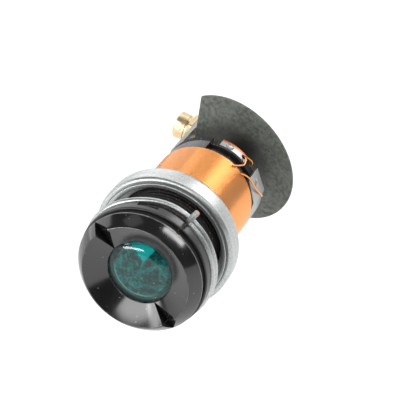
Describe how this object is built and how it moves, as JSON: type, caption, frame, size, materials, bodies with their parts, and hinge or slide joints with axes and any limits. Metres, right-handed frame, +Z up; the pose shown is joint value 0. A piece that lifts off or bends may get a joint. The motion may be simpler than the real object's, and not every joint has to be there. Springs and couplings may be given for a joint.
{
  "type": "panel pilot light",
  "caption": "Round panel pilot light: screw-in black bezel with a domed teal lens, moulded body with a resistor winding, wire spring ring and clamp nut, rear terminals behind a fibre disc.",
  "frame": {"origin": "on the light's axis, at the back face of the body's flange", "axes": "+Y along the axis from the lens to the terminals, lens facing -Y, +Z up on a vertical panel"},
  "size_m": [0.0402, 0.0809, 0.0409],
  "materials": {
    "moulding": "satin black moulding",
    "bezel_finish": "satin black",
    "teal_glass": "clear, teal",
    "seal": "matte",
    "zinc_plate": "bright zinc plating",
    "resistance_wire": "copper-coloured wire",
    "tinned_metal": "tinned",
    "brass": "plain brass",
    "fibre": "grey vulcanised fibre, matt",
    "lamp_glass": "clear",
    "steel": "plain steel"
  },
  "bodies": {
    "body": {"body": "moulding", "bezel_gasket": "seal", "spring_ring": "zinc_plate", "winding": "resistance_wire", "solder_lug": "tinned_metal", "tab_terminal": "tinned_metal", "terminal_strip": "tinned_metal", "wire_clamp": "brass", "terminal_washer": "brass", "terminal_screw": "brass", "terminal_rivets": "tinned_metal", "lug_lead": "resistance_wire", "tab_lead": "resistance_wire", "contact_lead": "resistance_wire", "fibre_disc": "fibre", "disc_washer": "brass", "disc_screw": "brass", "lamp": "lamp_glass", "lamp_socket": "brass", "socket_insulator": "fibre", "centre_contact": "brass"},
    "lens_carrier": {"lens": "teal_glass", "lens_gasket": "seal"},
    "bezel": {"bezel": "bezel_finish", "lens_retainer": "steel"},
    "nut_washer": {"thrust_washer": "zinc_plate"},
    "nut": {"clamp_nut": "zinc_plate"}
  },
  "joints": [
    {"name": "bezel_draw", "type": "slide", "parent": "body", "child": "lens_carrier", "axis": [0, -1, 0], "range_m": [0, 0.006]},
    {"name": "bezel_turn", "type": "hinge", "parent": "lens_carrier", "child": "bezel", "pos_m": [0, 0, 0], "axis": [0, -1, 0], "range_deg": [0, 1440]},
    {"name": "nut_run", "type": "slide", "parent": "body", "child": "nut_washer", "axis": [0, -1, 0], "range_m": [0, 0.006]},
    {"name": "nut_turn", "type": "hinge", "parent": "nut_washer", "child": "nut", "pos_m": [0, 0, 0], "axis": [0, -1, 0], "range_deg": [0, 1440]}
  ],
  "couplings": [
    {"joint": "bezel_draw", "follows": "bezel_turn", "m_per_rad": 0.00023873},
    {"joint": "nut_run", "follows": "nut_turn", "m_per_rad": 0.00023873}
  ]
}
